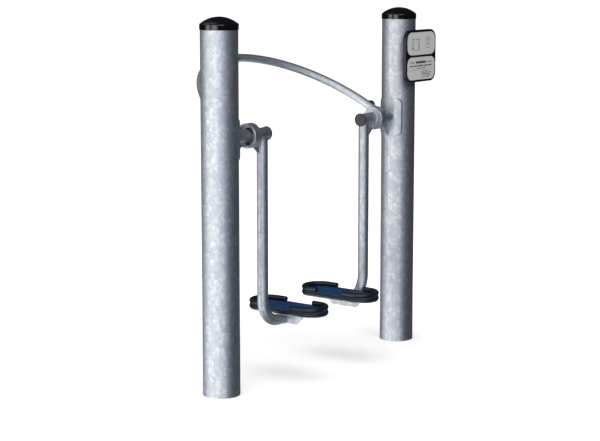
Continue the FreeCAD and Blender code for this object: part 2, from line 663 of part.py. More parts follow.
def screw_cap():
    """Shallow black dome over the screw head, resting on the bar."""
    base = BAR_R - SCREW_CAP_SINK
    crown = BAR_R + SCREW_CAP_HEIGHT
    rise = crown - base
    r = SCREW_CAP_DIAMETER / 2.0
    sphere_r = (r ** 2 + rise ** 2) / (2 * rise)
    ball = Part.makeSphere(sphere_r, screw_point(crown - sphere_r))
    dome = ball.common(screw_cylinder(r + PAST, base, crown + PAST))
    dome = dome.cut(end_arc_rod(BAR_R, 2 * SPIGOT_REACH))
    room_r = BUTTON_DIAMETER / 2.0 + SCREW_HOLE_CLEARANCE
    room = screw_cylinder(room_r, base - PAST, BAR_R + BUTTON_HEIGHT + SCREW_HOLE_CLEARANCE)
    return dome.cut(room).removeSplitter()


def sign_panel(level, depth=PANEL_THICKNESS):
    """Printed plate, upper at level 1 and lower at level -1, lying in the pocket of the sign body."""
    centre = V(POST_X, PANEL_BACK_Y, SIGN_Z + level * (PANEL_HEIGHT + SIGN_DIVIDER) / 2.0)
    face = rounded_face(SIGN_WIDTH - 2 * SIGN_MARGIN, PANEL_HEIGHT, PANEL_CORNER, centre, X_AXIS, Z_AXIS)
    return face.extrude(V(0, -depth, 0))


def screw_place(level, y):
    """Point on the axis of the upper or lower sign screw."""
    return V(POST_X, y, SIGN_Z + level * SIGN_SCREW_SPACING / 2.0)


def sign_screw(level):
    """Countersunk screw through the sign into the post wall."""
    y_head = PANEL_BACK_Y + SIGN_SCREW_SINK
    r = SIGN_SCREW_DIAMETER / 2.0
    big = SIGN_SCREW_HEAD / 2.0
    length = -POST_R + POST_WALL + SIGN_SCREW_TIP - y_head
    shank = Part.makeCylinder(r, length, screw_place(level, y_head), Y_AXIS)
    head = Part.makeCone(big, r, big - r, screw_place(level, y_head), Y_AXIS)
    return shank.fuse(head).removeSplitter()


def sign_body():
    """Rounded block with two shallow pockets in front and a saddle pad behind."""
    front = V(POST_X, SIGN_FRONT_Y, SIGN_Z)
    block = rounded_face(SIGN_WIDTH, SIGN_HEIGHT, SIGN_CORNER, front, X_AXIS, Z_AXIS)
    block = block.extrude(V(0, SIGN_THICKNESS, 0))
    rim = edges_at(block, lambda c, e: near(e.BoundBox.YLength, 0) and near(c.y, SIGN_FRONT_Y))
    block = block.makeFillet(SIGN_EDGE, rim)
    behind = V(POST_X, SIGN_BACK_Y, SIGN_Z)
    pad = rounded_face(SIGN_PAD_WIDTH, SIGN_PAD_HEIGHT, SIGN_PAD_CORNER, behind, X_AXIS, Z_AXIS)
    pad = pad.extrude(V(0, -SIGN_BACK_Y, 0))
    pad = pad.cut(Part.makeCylinder(POST_R, 2 * SIGN_HEIGHT, V(POST_X, 0, SIGN_Z - SIGN_HEIGHT), Z_AXIS))
    shape = block.fuse(pad).removeSplitter()
    for level in (1, -1):
        shape = shape.cut(sign_panel(level, PANEL_POCKET + SIGN_EDGE))
        shape = shape.cut(sign_screw(level))
        sink = Part.makeCylinder(SIGN_SCREW_HEAD / 2.0, SIGN_SCREW_SINK + PAST,
                                 screw_place(level, PANEL_BACK_Y - PAST), Y_AXIS)
        shape = shape.cut(sink)
    return shape


def signed_post():
    """The right post with the two holes for the sign screws."""
    shape = post().mirror(V(0, 0, 0), X_AXIS)
    for level in (1, -1):
        start = screw_place(level, -POST_R - PAST)
        shape = shape.cut(Part.makeCylinder(SIGN_SCREW_DIAMETER / 2.0, POST_R, start, Y_AXIS))
    return shape


def mirrored_nodes():
    """Pieces modelled at the left and mirrored to the right."""
    return {
        "post_cap": post_cap(),
        "saddle_plate": saddle_plate(),
        "stub_tube": stub_tube(),
        "axle": axle(),
        "upper_rib": upper_rib(),
        "lower_rib": lower_rib(),
        "stop_buffer": stop_buffer(),
        "lock_nut": lock_nut(),
        "handle_spigot": handle_spigot(),
        "handle_screw": handle_screw(),
        "screw_cap": screw_cap(),
        "hub_housing": hub_housing(),
        "pivot_tube": pivot_tube(),
        "inner_bush": flanged_bush(RECESS_FLOOR_D, 1),
        "outer_bush": flanged_bush(COUNTERBORE_START_D, -1),
        "end_cap": end_cap(),
        "arm_tube": arm_tube(),
        "arm_gusset": arm_gusset(),
        "pedal_bracket": pedal_bracket(),
        "base_plate": base_plate(),
        "edge_pad": edge_pad(),
        "tread_plate": tread_plate(),
        "front_bolt": pedal_bolt(1),
        "rear_bolt": pedal_bolt(-1),
    }


def shifted_nodes():
    """Pieces that are the same way round on both pedals."""
    return {"front_bumper": bumper(0), "rear_bumper": bumper(180)}


def all_nodes():
    nodes = {"left_post": post(), "right_post": signed_post(), "handlebar": handlebar()}
    for name, shape in mirrored_nodes().items():
        nodes["left_" + name], nodes["right_" + name] = both_sides(shape)
    pitch = POST_SPACING - 2 * PEDAL_D
    for name, shape in shifted_nodes().items():
        nodes["left_" + name] = shape
        nodes["right_" + name] = shape.translated(V(pitch, 0, 0))
    nodes["sign_body"] = sign_body()
    for level, word in ((1, "upper"), (-1, "lower")):
        nodes["sign_panel_" + word] = sign_panel(level)
        nodes["sign_screw_" + word] = sign_screw(level)
    return nodes


def single_solid(name, shape):
    if len(shape.Solids) != 1 or not shape.isValid():
        raise ValueError("%s must be one valid solid, but has %d" % (name, len(shape.Solids)))
    return shape.Solids[0]


os.makedirs("parts", exist_ok=True)
for node, built in all_nodes().items():
    single_solid(node, built).exportStep("parts/%s.step" % node)
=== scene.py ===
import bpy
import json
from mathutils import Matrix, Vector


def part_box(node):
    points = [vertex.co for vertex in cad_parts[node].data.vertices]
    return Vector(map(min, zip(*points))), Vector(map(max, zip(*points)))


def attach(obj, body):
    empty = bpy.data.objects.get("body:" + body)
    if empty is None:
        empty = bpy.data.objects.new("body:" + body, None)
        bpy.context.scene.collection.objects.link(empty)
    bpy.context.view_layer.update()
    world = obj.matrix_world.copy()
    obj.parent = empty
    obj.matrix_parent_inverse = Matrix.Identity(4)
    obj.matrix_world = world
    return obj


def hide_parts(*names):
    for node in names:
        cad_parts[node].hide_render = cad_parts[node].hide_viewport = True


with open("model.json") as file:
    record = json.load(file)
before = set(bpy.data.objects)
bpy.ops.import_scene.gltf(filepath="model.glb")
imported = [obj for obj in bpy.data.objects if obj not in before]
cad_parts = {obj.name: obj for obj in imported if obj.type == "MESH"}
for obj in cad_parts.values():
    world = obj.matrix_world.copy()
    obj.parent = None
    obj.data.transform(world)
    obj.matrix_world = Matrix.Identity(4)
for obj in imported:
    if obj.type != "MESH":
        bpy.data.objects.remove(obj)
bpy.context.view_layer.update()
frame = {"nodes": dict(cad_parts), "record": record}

import json
import math

import bpy
import numpy as np
from bpy.props import FloatProperty, FloatVectorProperty, PointerProperty

bl_info = {
    "name": "Air walker finish",
    "version": (1, 0, 0),
    "blender": (4, 5, 0),
    "location": "3D View > Sidebar > Air walker",
    "description": "Finishes, rubber mouldings, welds and sign marks of an outdoor air walker",
    "category": "Object",
}

X, Y, Z = np.eye(3)


# CAD nodes

def corners(node):
    """Lowest and highest corner of a CAD node."""
    low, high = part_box(node)
    return np.array(low), np.array(high)


def span(node, axis):
    """Middle and half extent of a CAD node along an axis, 0 to 2 for X to Z."""
    low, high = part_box(node)
    return (low[axis] + high[axis]) / 2.0, (high[axis] - low[axis]) / 2.0


# Settings

def number_setting(name, description, default, low=0.0, high=1.0, **more):
    """A number, plain or with a unit."""
    return FloatProperty(name=name, description=description, default=default, min=low, max=high, **more)


def length_setting(name, description, default, low=0.0001):
    """A size in metres."""
    return number_setting(name, description, default, low, precision=5, subtype="DISTANCE", unit="LENGTH")


def power_setting(name, description, default):
    """A lamp's power in watts."""
    return number_setting(name, description, default, high=1000.0, unit="POWER")


def colour_setting(name, description, default):
    """A colour in linear light."""
    return FloatVectorProperty(name=name, description=description, default=default, size=3,
                               min=0.0, max=1.0, subtype="COLOR")


class FinishSettings(bpy.types.PropertyGroup):
    """Colours of the finishes, and the size of the zinc flakes."""

    zinc_light: colour_setting("Zinc light", "Bright facets of the galvanised skin", (0.66, 0.662, 0.664))
    zinc_dark: colour_setting("Zinc dark", "Dull ground of the galvanised skin", (0.425, 0.442, 0.475))
    spangle_size: length_setting("Spangle size", "Width of the large zinc flakes", 0.016)
    cap_black: colour_setting("Cap black", "Moulded caps and the sign case", (0.0010, 0.0010, 0.0012))
    pivot_cap: colour_setting("Pivot cap", "Satin caps on the pivot tubes", (0.008, 0.008, 0.008))
    rubber: colour_setting("Rubber", "Foot stops, pads and buffers", (0.0028, 0.0028, 0.003))
    tread: colour_setting("Tread", "Blue coating of the treads", (0.0030, 0.026, 0.084))
    sign_plate: colour_setting("Sign plate", "Matt plates of the sign", (0.42, 0.42, 0.425))
    ink_dark: colour_setting("Dark ink", "Dark printed rules", (0.012, 0.012, 0.013))
    ink_grey: colour_setting("Grey ink", "Thin printed outlines", (0.07, 0.07, 0.072))
    ink_red: colour_setting("Red ink", "Small red mark", (0.42, 0.06, 0.05))
    bronze: colour_setting("Bronze", "Bearing bushes", (0.62, 0.40, 0.19))
    plated: colour_setting("Plated steel", "Bolts, screws and nuts", (0.56, 0.57, 0.60))
    bare_steel: colour_setting("Bare steel", "Turned axles", (0.50, 0.50, 0.51))


class MouldingSettings(bpy.types.PropertyGroup):
    """Sizes of the rubber mouldings."""

    stop_diameter: length_setting("Stop diameter", "Thickness of the C-shaped foot stops", 0.020)
    stop_tip: length_setting("Stop tip rounding", "Rounding of the ends of the foot stops", 0.004)
    stop_step: length_setting("Stop step", "How much shorter the short arm of a stop is", 0.014)
    pad_rounding: length_setting("Pad rounding", "Rounding of the pad's outer edge", 0.0066)
    block_width: length_setting("Block width", "Width of the blocks of the stop buffer", 0.013)
    ring_bore: length_setting("Ring bore", "Radius of the axle's shoulder in the buffer's ring", 0.017)
    buffer_lip: length_setting("Buffer lip", "How far the ring's lip stands over the stub", 0.0004)
    buffer_flank: length_setting("Buffer flank", "Height over which a block's flank rounds in", 0.0012)
    buffer_rounding: length_setting("Buffer rounding", "Rounding of the buffer's edges", 0.001)


class WeldSettings(bpy.types.PropertyGroup):
    """Sizes of the weld beads."""

    leg: length_setting("Leg", "Leg of the fillet welds", 0.0024)
    saddle_leg: length_setting("Saddle leg", "Leg of the weld round a saddle plate", 0.0016)
    rib_share: number_setting("Rib share", "Leg along ribs and gusset as a share of the leg", 0.8, 0.1)
    pitch: length_setting("Ripple pitch", "Distance between the ripples of a bead", 0.0026)
    ripple: number_setting("Ripple", "Height of the ripples as a share of the leg", 0.07, high=0.3)


class SignSettings(bpy.types.PropertyGroup):
    """Sizes of the printed marks."""

    line: length_setting("Line", "Width of the thin printed lines", 0.0020)
    ink: length_setting("Ink", "Thickness of the print", 0.00015, 0.00005)


class StageSettings(bpy.types.PropertyGroup):
    """Light, floor and camera."""

    key_power: power_setting("Key power", "Power of the large lamp on the left", 120.0)
    front_power: power_setting("Front power", "Power of the lamp beside the camera", 170.0)
    overhead_power: power_setting("Overhead power", "Power of the lamp above", 85.0)
    fill: number_setting("Fill", "Strength of the even light from all round", 0.30)
    tint: colour_setting("Wall tint", "Hue of the dark walls that metal reflects", (0.62, 0.76, 1.0))
    walls: number_setting("Wall tone", "Tone of the dark walls", 0.045)
    floor: colour_setting("Floor", "Colour of the floor", (0.50, 0.50, 0.50))
    floor_glow: number_setting("Floor white", "Share of white added to the floor", 0.48)
    lens: number_setting("Lens", "Focal length of the camera in millimetres", 101.99, 10.0, 1000.0,
                         subtype="DISTANCE_CAMERA")


# Node trees

class Socket:
    """An output inside a node tree. Arithmetic on it adds Math nodes."""

    def __init__(self, tree, output):
        self.tree = tree
        self.output = output

    def beside(self, output):
        """Another output of the same node."""
        return Socket(self.tree, self.output.node.outputs[output])

    def maths(self, operation, *values):
        """A Math node on these values."""
        return self.tree.node("ShaderNodeMath", {"operation": operation}, dict(enumerate(values)))

    def __add__(self, other):
        return self.maths("ADD", self, other)

    def __radd__(self, other):
        return self.maths("ADD", other, self)

    def __sub__(self, other):
        return self.maths("SUBTRACT", self, other)

    def __rsub__(self, other):
        return self.maths("SUBTRACT", other, self)

    def __mul__(self, other):
        return self.maths("MULTIPLY", self, other)

    def __rmul__(self, other):
        return self.maths("MULTIPLY", other, self)


class NodeTree:
    """The node tree of a material or world, filled node by node."""

    def __init__(self, owner):
        owner.use_nodes = True
        self.owner = owner
        self.tree = owner.node_tree
        self.tree.nodes.clear()

    def node(self, kind, settings=None, sockets=None, output=0):
        """Adds a node: its settings first, then the values or links of its inputs."""
        made = self.tree.nodes.new(kind)
        for key, value in (settings or {}).items():
            if key == "stops":
                self.fill_ramp(made.color_ramp, value)
            else:
                setattr(made, key, value)
        for key, value in (sockets or {}).items():
            if isinstance(value, Socket):
                self.tree.links.new(value.output, made.inputs[key])
            else:
                made.inputs[key].default_value = value
        return Socket(self, made.outputs[output]) if made.outputs else None

    @staticmethod
    def fill_ramp(ramp, stops):
        """Sets a ramp's stops, each a place and a grey level."""
        while len(ramp.elements) < len(stops):
            ramp.elements.new(1.0)
        for element, (place, level) in zip(ramp.elements, stops):
            element.position = place
            element.color = (level, level, level, 1.0)

    def place(self):
        """Position on the piece, in metres."""
        return self.node("ShaderNodeTexCoord", output="Object")

    def stretched(self, point, scale):
        """The position scaled along each axis: a small scale makes a pattern longer there."""
        return self.node("ShaderNodeMapping", {"vector_type": "POINT"}, {"Vector": point, "Scale": scale})

    def noise(self, point, size, detail=3.0, roughness=0.5):
        """Soft cloudy value from 0 to 1 with features of a size in metres."""
        return self.node("ShaderNodeTexNoise", {}, {
            "Vector": point, "Scale": 1.0 / size, "Detail": detail, "Roughness": roughness})

    def wobbled(self, point, size, amount):
        """The position shifted by cloudy noise, so that edges wander."""
        centred = self.vectors("SUBTRACT", self.noise(point, size, 2.0).beside("Color"), (0.5, 0.5, 0.5))
        shift = self.node("ShaderNodeVectorMath", {"operation": "SCALE"}, {0: centred, "Scale": amount})
        return self.vectors("ADD", point, shift)

    def cells(self, point, size):
        """A random colour for each cell, as the facets of crystals or grains of grit."""
        return self.node("ShaderNodeTexVoronoi", {"feature": "F1"}, {
            "Vector": point, "Scale": 1.0 / size}, output="Color")

    def part(self, colour, name):
        """One of the three parts of a colour."""
        return self.node("ShaderNodeSeparateColor", {}, {"Color": colour}, output=name)

    def vectors(self, operation, *values, output=0):
        """A Vector Math node on these values."""
        inputs = dict(enumerate(values))
        return self.node("ShaderNodeVectorMath", {"operation": operation}, inputs, output)

    def flakes(self, point, size, share):
        """Crystal flakes: a share of the cells, each fading away in a direction of its own.

        The fade is the distance from the cell's middle along a random direction, from about 0 on
        one side of the cell to 1 on the other. A cell is a flake where a random value of its own
        is above 1 less the share, with a soft border."""
        colour = self.cells(point, size)
        away = self.vectors("SUBTRACT", point, colour.beside("Position"))
        heading = self.vectors("NORMALIZE", self.vectors("SUBTRACT", colour, (0.5, 0.5, 0.5)))
        fade = self.vectors("DOT_PRODUCT", away, heading, output="Value") * (1.1 / size) + 0.55
        border = 0.04
        chosen = self.ramp(self.part(colour, "Blue"),
                           (1.0 - share - border, 0.0), (1.0 - share + border, 0.6), (1.0, 1.0))
        return self.node("ShaderNodeClamp", {}, {"Value": fade}) * chosen

    def levels(self, value, low, high):
        """The value brought from 0..1 to low..high, by a straight line."""
        return value * (high - low) + low

    def ramp(self, value, *stops):
        """Grey level that goes from stop to stop, each a place and a level."""
        return self.node("ShaderNodeValToRGB", {"stops": stops}, {"Fac": value})

    def blend(self, factor, first, second):
        """Colour that goes from the first to the second."""
        return self.node("ShaderNodeMix", {"data_type": "RGBA"}, {
            "Factor": factor, 6: opaque(first), 7: opaque(second)}, output=2)

    def bump(self, height, distance, strength, under=None):
        """Relief of a height in metres, over another relief if one is given."""
        sockets = {"Height": height, "Distance": distance, "Strength": strength}
        if under is not None:
            sockets["Normal"] = under
        return self.node("ShaderNodeBump", {}, sockets)

    def finished(self, sockets, kind="ShaderNodeBsdfPrincipled"):
        """The material, once a shader with these sockets feeds its output."""
        self.node("ShaderNodeOutputMaterial", {}, {"Surface": self.node(kind, {}, sockets)})
        return self.owner


def opaque(colour):
    """A colour with its fourth part, or a link as it is."""
    return colour if isinstance(colour, Socket) else (*colour, 1.0)


def galvanised(name, light, dark, size, swell=0.0003):
    """Hot-dip zinc: feathery crystal flakes of two sizes over a dull cloudy ground.

    The swell is the height of the slow waves in the skin."""
    tree = NodeTree(bpy.data.materials.new(name))
    point = tree.place()
    tall = tree.stretched(tree.wobbled(point, size * 0.45, size * 0.55), (1.0, 1.0, 0.72))
    large = tree.flakes(tall, size, share=0.62)
    small = tree.flakes(tree.wobbled(point, size * 0.25, size * 0.3), size * 0.42, share=0.45)
    cloud = tree.noise(point, size * 1.6, detail=4.0, roughness=0.62)
    grain = tree.noise(point, 0.0011, roughness=0.6)
    tone = large * 0.66 + small * 0.34 + cloud * 0.40 - 0.10
    tone = tree.node("ShaderNodeClamp", {}, {"Value": tone})
    relief = tree.bump(grain, distance=0.0001, strength=0.35)
    waves = tree.noise(point, 0.014, detail=2.0)
    relief = tree.bump(waves, distance=swell, strength=0.5, under=relief)
    return tree.finished({
        "Base Color": tree.blend(tone, dark, light),
        "Metallic": 1.0 - cloud * 0.02,
        "Roughness": tree.levels(tone, 0.58, 0.52) + grain * 0.03,
        "Normal": relief,
    })


def moulded_plastic(name, colour, roughness, grain_depth, specular):
    """Moulded plastic: an even colour that clouds a little and a fine eroded grain."""
    tree = NodeTree(bpy.data.materials.new(name))
    point = tree.place()
    cloud = tree.noise(point, 0.045)
    grain = tree.noise(point, 0.0009, detail=2.0, roughness=0.7)
    lighter = tuple(min(1.0, part * 1.5 + 0.0005) for part in colour)
    return tree.finished({
        "Base Color": tree.blend(cloud, colour, lighter),
        "Roughness": tree.levels(cloud, roughness - 0.04, roughness + 0.05) + grain * 0.05,
        "Normal": tree.bump(grain, distance=grain_depth, strength=0.4),
        "Specular IOR Level": specular,
    })


def moulded_rubber(name, colour):
    """Moulded rubber: near black, with pale bloom in clouds and a fine skin."""
    tree = NodeTree(bpy.data.materials.new(name))
    point = tree.place()
    cloud = tree.noise(point, 0.030, detail=4.0, roughness=0.6)
    skin = tree.noise(point, 0.0007, roughness=0.7)
    dents = tree.noise(point, 0.006, detail=2.0)
    bloom = tuple(part * 1.8 + 0.001 for part in colour)
    relief = tree.bump(skin, distance=0.00015, strength=0.5)
    relief = tree.bump(dents, distance=0.0003, strength=0.4, under=relief)
    return tree.finished({
        "Base Color": tree.blend(tree.ramp(cloud, (0.35, 0.0), (0.75, 1.0)), colour, bloom),
        "Roughness": tree.levels(cloud, 0.38, 0.52) + skin * 0.06,
        "Normal": relief,
        "Specular IOR Level": 0.5,
    })


def tread_coating(name, colour):
    """Blue coating with fine grit, rubbed a little paler in patches."""
    tree = NodeTree(bpy.data.materials.new(name))
    point = tree.place()
    patches = tree.noise(tree.stretched(point, (1.0, 0.45, 1.0)), 0.055, roughness=0.55)
    grit = tree.part(tree.cells(point, 0.0016), "Red")
    pale = (colour[0] * 1.5, colour[1] * 1.35, colour[2] * 1.25)
    return tree.finished({
        "Base Color": tree.blend(tree.ramp(patches, (0.38, 0.0), (0.72, 1.0)) * 0.7 + grit * 0.25,
                                 colour, pale),
        "Roughness": tree.levels(patches, 0.48, 0.60) + grit * 0.08,
        "Normal": tree.bump(grit, distance=0.00035, strength=0.6),
        "Specular IOR Level": 0.35,
    })


def turned_metal(name, colour, roughness, axis_scale):
    """Machined metal: fine lines, close together along the axis with the large scale."""
    tree = NodeTree(bpy.data.materials.new(name))
    point = tree.place()
    lines = tree.noise(tree.stretched(point, axis_scale), 0.004, roughness=0.6)
    stain = tree.noise(point, 0.02)
    darker = tuple(part * 0.72 for part in colour)
    return tree.finished({
        "Base Color": tree.blend(stain * 0.6 + lines * 0.4, darker, colour),
        "Metallic": 1.0,
        "Roughness": tree.levels(lines, roughness - 0.06, roughness + 0.10),
        "Normal": tree.bump(lines, distance=0.00008, strength=0.4),
    })


def printed_plate(name, colour):
    """Matt anodised plate: even grey with a faint brushed grain."""
    tree = NodeTree(bpy.data.materials.new(name))
    point = tree.place()
    brushed = tree.noise(tree.stretched(point, (0.06, 1.0, 1.0)), 0.0012, detail=2.0)
    cloud = tree.noise(point, 0.05)
    darker = tuple(part * 0.92 for part in colour)
    return tree.finished({
        "Base Color": tree.blend(brushed * 0.5 + cloud * 0.5, darker, colour),
        "Roughness": tree.levels(brushed, 0.50, 0.62),
        "Normal": tree.bump(brushed, distance=0.00004, strength=0.3),
        "Specular IOR Level": 0.3,
    })


def printed_ink(name, colour):
    """Screen print: flat ink with a slightly uneven coat."""
    tree = NodeTree(bpy.data.materials.new(name))
    coat = tree.noise(tree.place(), 0.004, detail=2.0)
    paler = tuple(part + (1.0 - part) * 0.06 for part in colour)
    return tree.finished({
        "Base Color": tree.blend(coat, colour, paler),
        "Roughness": tree.levels(coat, 0.45, 0.60),
        "Specular IOR Level": 0.3,
    })


def give(material, nodes):
    """Puts the material in every slot of the CAD nodes."""
    for name in nodes:
        slots = frame["nodes"][name].material_slots
        if not slots:
            frame["nodes"][name].data.materials.append(material)
        for slot in slots:
            slot.material = material


def nodes_of(slot):
    """CAD nodes that the record gives this material slot."""
    return [part["node"] for part in frame["record"]["subparts"] if part["material_slot"] == slot]


# Surfaces

def unit(vectors):
    """Vectors scaled to length one."""
    return vectors / np.linalg.norm(vectors, axis=-1, keepdims=True)


def lattice(points, close_rows=False, close_columns=False):
    """Surface through rows and columns of points, as flat points and a list of face arrays."""
    rows, columns = points.shape[:2]
    number = np.arange(rows * columns).reshape(rows, columns)
    if close_rows:
        number = np.vstack([number, number[:1]])
    if close_columns:
        number = np.hstack([number, number[:, :1]])
    quads = np.stack([number[:-1, :-1], number[1:, :-1], number[1:, 1:], number[:-1, 1:]], axis=-1)
    return points.reshape(-1, 3), [quads.reshape(-1, 4)]


def capped(rings):
    """Tube through rings of points, with a fan to the middle of each end ring."""
    points, faces = lattice(rings, close_columns=True)
    count, around = len(points), np.arange(rings.shape[1])
    following = np.roll(around, -1)
    last = count - rings.shape[1]
    start = np.stack([np.full_like(around, count), around, following], axis=-1)
    end = np.stack([np.full_like(around, count + 1), last + following, last + around], axis=-1)
    middles = rings[[0, -1]].mean(axis=1)
    return np.vstack([points, middles]), faces + [start, end]


def lidded(rings):
    """Tube through rings of points, each end closed by one flat face."""
    points, faces = lattice(rings, close_columns=True)
    around = np.arange(rings.shape[1])
    return points, faces + [around[None, :], len(points) - 1 - around[None, :]]


def volume(points, faces):
    """Volume inside closed faces: the sum of the pyramids from the origin to each triangle."""
    total = 0.0
    for array in faces:
        for k in range(1, array.shape[1] - 1):
            a, b, c = points[array[:, 0]], points[array[:, k]], points[array[:, k + 1]]
            total += np.einsum("ij,ij->", a, np.cross(b, c)) / 6.0
    return total


def outward(points, faces):
    """The same surface with its faces turned to point out."""
    if volume(points - points.mean(axis=0), faces) < 0:
        faces = [array[:, ::-1] for array in faces]
    return points, faces


def mirrored(parts):
    """The left side's surfaces, mirrored to the right side."""
    return [(points * (-1.0, 1.0, 1.0), faces) for points, faces in parts]


def piece(name, parts, material, body, stands_for=(), sharp=40.0):
    """One mesh of closed surfaces on a body, with its edges sharp above an angle in degrees."""
    points, faces, offset = [], [], 0
    for part_points, part_faces in (outward(*part) for part in parts):
        points.append(part_points)
        for array in part_faces:
            faces.extend((array + offset).tolist())
        offset += len(part_points)
    mesh = bpy.data.meshes.new(name)
    mesh.from_pydata(np.vstack(points).tolist(), [], faces)
    if mesh.validate():
        raise RuntimeError("%s has faces that can't be made" % name)
    mesh.shade_smooth()
    mesh.set_sharp_from_angle(angle=math.radians(sharp))
    mesh.materials.append(material)
    made = bpy.data.objects.new(name, mesh)
    bpy.context.scene.collection.objects.link(made)
    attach(made, body)
    if stands_for:
        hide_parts(*stands_for)
    return made


# Rubber mouldings

def pedal_box(side):
    """Centre, half width and half length of a pedal, from its pad."""
    low, high = corners(side + "_edge_pad")
    half = (high - low) / 2.0
    return (low + high) / 2.0, half[0], half[1]


def stop_path(radius, tip, long_tip, short_tip, centre_y):
    """Path of a foot stop: for each section its angle round the stop, its middle's y and its radius.

    A straight arm at angle 0, a half circle and a shorter straight arm at angle pi.
    Near each tip the radius follows a quarter circle: at depth t (1 - cos a) it is r - t + t sin a."""
    rounding = np.linspace(0.0, math.pi / 2.0, 7)
    depth = tip * (1.0 - np.cos(rounding))
    thin = radius - tip + tip * np.sin(rounding)

    def arm(end, count):
        return end + np.concatenate([depth, np.linspace(tip, centre_y - end, count)[1:-1]])

    long_y, short_y = arm(long_tip, 8), arm(short_tip, 6)[::-1]
    turn = np.linspace(0.0, math.pi, 61)
    angle = np.concatenate([np.zeros_like(long_y), turn, np.full_like(short_y, math.pi)])
    y = np.concatenate([long_y, np.full_like(turn, centre_y), short_y])
    size = np.full_like(y, radius)
    size[:len(thin)], size[-len(thin):] = thin, thin[::-1]
    return angle, y, size


def foot_stop(side, end, settings):
    """Round rubber rod bent to a C that lies flat on the tread.

    Each section is a circle of radius r: with R the radius of the C, it reaches out by
    R + r cos b at its angle round the stop, and up by r sin b, cut off level at the tread."""
    node = "%s_%s_bumper" % (side, end)
    centre, half_width, half_length = pedal_box(side)
    low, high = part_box(node)
    radius = settings.stop_diameter / 2.0
    tip_y = low[1] if end == "front" else -high[1]
    path = stop_path(radius, settings.stop_tip, tip_y, tip_y + settings.stop_step,
                     half_length - half_width)
    angle, y, size = (array[:, None] for array in path)
    around = np.linspace(0.0, 2.0 * math.pi, 40, endpoint=False)
    reach = half_width - radius + size * np.cos(around)
    rings = np.stack([
        reach * np.cos(angle),
        y + reach * np.sin(angle),
        np.maximum(high[2] - radius + size * np.sin(around), low[2]),
    ], axis=-1)
    if end == "rear":
        rings = rings * (-1.0, -1.0, 1.0)
    return node, capped(rings + (centre[0], centre[1], 0.0))


def edge_pad(side, settings):
    """Rubber layer with round ends.

    Its outline is a stadium, and its edge follows a quarter circle at the bottom and at the top:
    the outline moves in by r (1 - cos a) while the height changes by r sin a."""
    node = side + "_edge_pad"
    centre, half_width, half_length = pedal_box(side)
    low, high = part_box(node)
    r = settings.pad_rounding
    quarter = np.linspace(0.0, math.pi / 2.0, 9)
    sin, cos = r * np.sin(quarter), r * np.cos(quarter)
    inset = np.concatenate([r - sin, r - cos])
    height = np.concatenate([low[2] + r - cos, high[2] - r + sin])
    half_turn = np.linspace(0.0, math.pi, 49)
    turn = np.concatenate([half_turn, half_turn + math.pi])
    end_y = np.repeat([1.0, -1.0], len(half_turn)) * (half_length - half_width)
    reach = half_width - inset[:, None]
    rings = np.stack([
        centre[0] + reach * np.cos(turn),
        centre[1] + end_y + reach * np.sin(turn),
        np.broadcast_to(height[:, None], (len(height), len(turn))),
    ], axis=-1)
    return node, lidded(rings)


def stop_buffer(settings):
    """Left rubber ring against the stub's end, with a low block above and a taller block below.

    At an angle a from upright the section reaches out to b / |sin a|, b being half the block's
    width, but no less than the ring and no more than the block's top. Where it is higher than the
    ring it also reaches back over the stub. Each section is an L in the plane of the axle, its
    outer corners rounded by quarter circles."""
    low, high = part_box("left_stop_buffer")
    axle_z, stub = span("left_stub_tube", 2)
    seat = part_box("left_stub_tube")[1][0]
    ring = stub + settings.buffer_lip
    turn = np.linspace(0.0, 2.0 * math.pi, 480, endpoint=False)
    top = np.where(np.cos(turn) > 0.0, high[2] - axle_z, axle_z - low[2])
    outer = settings.block_width / 2.0 / np.maximum(np.abs(np.sin(turn)), 1e-6)
    outer = np.clip(outer, ring, top)
    share = np.clip((outer - ring) / settings.buffer_flank, 0.0, 1.0)
    share = share * share * (3.0 - 2.0 * share)
    lip_start = seat - settings.buffer_lip
    start = (lip_start + (low[0] - lip_start) * share)[:, None]
    end = np.full_like(start, high[0])
    r = np.minimum(settings.buffer_rounding, (outer - stub) * 0.45)[:, None]
    quarter = np.linspace(0.0, math.pi / 2.0, 5)
    sin, cos = np.sin(quarter), np.cos(quarter)
    flat, outer = np.ones_like(start), outer[:, None]
    along = np.concatenate([
        seat * flat, seat * flat, start,
        start + r * (1.0 - sin), end - r * (1.0 - cos), end], axis=1)
    out = np.concatenate([
        settings.ring_bore * flat, stub * flat, stub * flat,
        outer - r * (1.0 - cos[::-1]), outer - r * (1.0 - sin[::-1]), settings.ring_bore * flat], axis=1)
    rings = np.stack([
        along,
        out * np.sin(turn)[:, None],
        axle_z + out * np.cos(turn)[:, None],
    ], axis=-1)
    return lattice(rings, close_rows=True, close_columns=True)


# Welds

def bead(path, first, second, leg, settings, closed=False):
    """Fillet weld in a corner.

    The path is the corner line, and first and second are the directions away from it on the two
    surfaces. The face runs from one to the other and swells by sin(pi t), and ripples of the
    length of the pitch run along it. Open ends taper off over one leg. The back lies just inside
    the corner."""
    crown, root_depth, thinnest = 0.22, 0.0004, 0.02
    steps = np.linalg.norm(np.diff(path, axis=0), axis=1)
    run = np.concatenate([[0.0], np.cumsum(steps)])
    total = run[-1] + (np.linalg.norm(path[0] - path[-1]) if closed else 0.0)
    ripples = max(1, round(total / settings.pitch))
    wave = 1.0 + settings.ripple * np.cos(2.0 * math.pi * ripples * run / total)
    if not closed:
        wave = wave * np.sqrt(np.clip(np.minimum(run, total - run) / leg, thinnest, 1.0))
    t = np.linspace(0.0, 1.0, 7)[:, None]
    size = leg * wave[:, None, None] * (1.0 + crown * np.sin(math.pi * t))
    face = path[:, None] + size * (first[:, None] * (1.0 - t) + second[:, None] * t)
    back = path - (first + second) * root_depth
    rings = np.concatenate([face, back[:, None]], axis=1)
    return lattice(rings, close_rows=True, close_columns=True) if closed else capped(rings)


